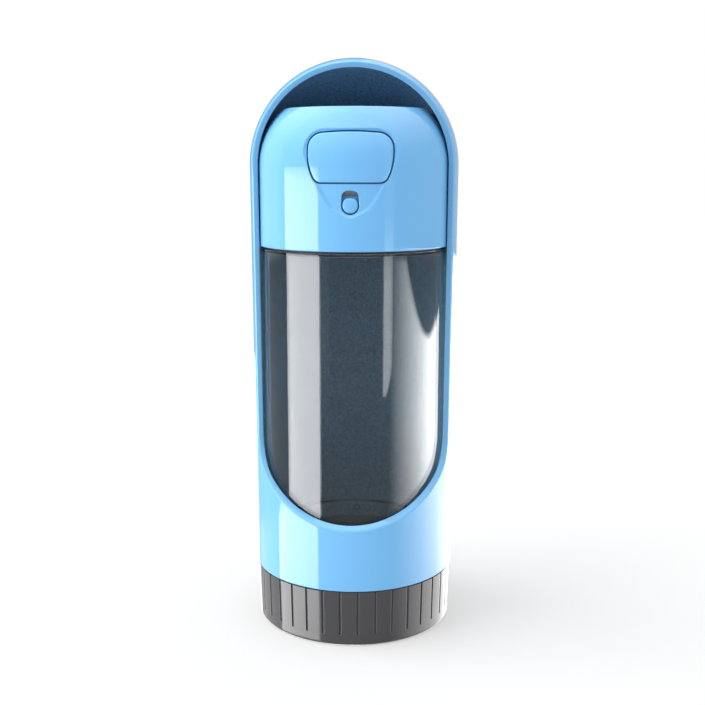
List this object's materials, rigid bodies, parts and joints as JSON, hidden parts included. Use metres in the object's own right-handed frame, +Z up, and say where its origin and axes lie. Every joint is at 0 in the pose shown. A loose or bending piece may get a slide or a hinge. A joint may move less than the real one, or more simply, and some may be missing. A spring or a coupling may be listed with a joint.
{
  "type": "dog travel water bottle",
  "caption": "Pocket water bottle for dogs: clear tank in a shell whose domed hood is the drinking scoop, head with press button and slide lock, ribbed screw cap.",
  "frame": {"origin": "middle of the cap's flat underside, on the bottle's axis, where it stands", "axes": "+Z up along the bottle's axis; the button, lock and window face -Y; +X to the viewer's right"},
  "size_m": [0.074, 0.0733, 0.2032],
  "materials": {
    "blue_abs": "satin",
    "smoke_clear": "gloss",
    "dark_silicone": "matte",
    "white_pom": "satin",
    "spring_steel": "satin",
    "carbon": "matte",
    "nonwoven": "matte",
    "dark_abs": "satin"
  },
  "bodies": {
    "bottle": {"scoop_shell": "blue_abs", "tank": "smoke_clear", "neck_gasket": "dark_silicone", "head_housing": "blue_abs", "deck": "white_pom", "deck_seal": "dark_silicone", "valve_chamber": "white_pom", "outlet_seat": "white_pom", "crank_pin": "spring_steel", "rod_seal": "dark_silicone", "lock_keeper": "white_pom", "keeper_screws": "spring_steel", "filter_case": "white_pom", "filter_media": "carbon", "filter_screen": "nonwoven", "valve_spring": "spring_steel", "button_spring": "spring_steel"},
    "press_button": {"button": "blue_abs", "push_rod": "spring_steel"},
    "crank": {"bell_crank": "white_pom"},
    "valve": {"valve_stem": "white_pom", "valve_plug": "dark_silicone"},
    "lock": {"lock_slider": "blue_abs"},
    "cap": {"base_cap": "dark_abs", "cap_core": "dark_abs", "cap_seal": "dark_silicone"}
  },
  "joints": [
    {"name": "button_press", "type": "slide", "parent": "bottle", "child": "press_button", "axis": [0, 1, 0], "range_m": [0, 0.0025], "stiffness_N_per_m": 1200, "springref_m": -0.002, "deforming": ["button_spring"]},
    {"name": "crank_turn", "type": "hinge", "parent": "bottle", "child": "crank", "pos_m": [0, -0.008, 0.161], "axis": [-1, 0, 0], "range_deg": [0, 18.3]},
    {"name": "valve_open", "type": "slide", "parent": "bottle", "child": "valve", "axis": [0, 0, -1], "range_m": [0, 0.0025], "deforming": ["valve_spring"]},
    {"name": "lock_slide", "type": "slide", "parent": "bottle", "child": "lock", "axis": [0, 0, 1], "range_m": [0, 0.0024]},
    {"name": "cap_unscrew", "type": "hinge", "parent": "bottle", "child": "cap", "pos_m": [0, 0, 0.01], "axis": [0, 0, 1], "range_deg": [0, 540]}
  ],
  "couplings": [
    {"joint": "crank_turn", "follows": "button_press", "rad_per_m": 127.13},
    {"joint": "valve_open", "follows": "button_press", "ratio": 1}
  ]
}
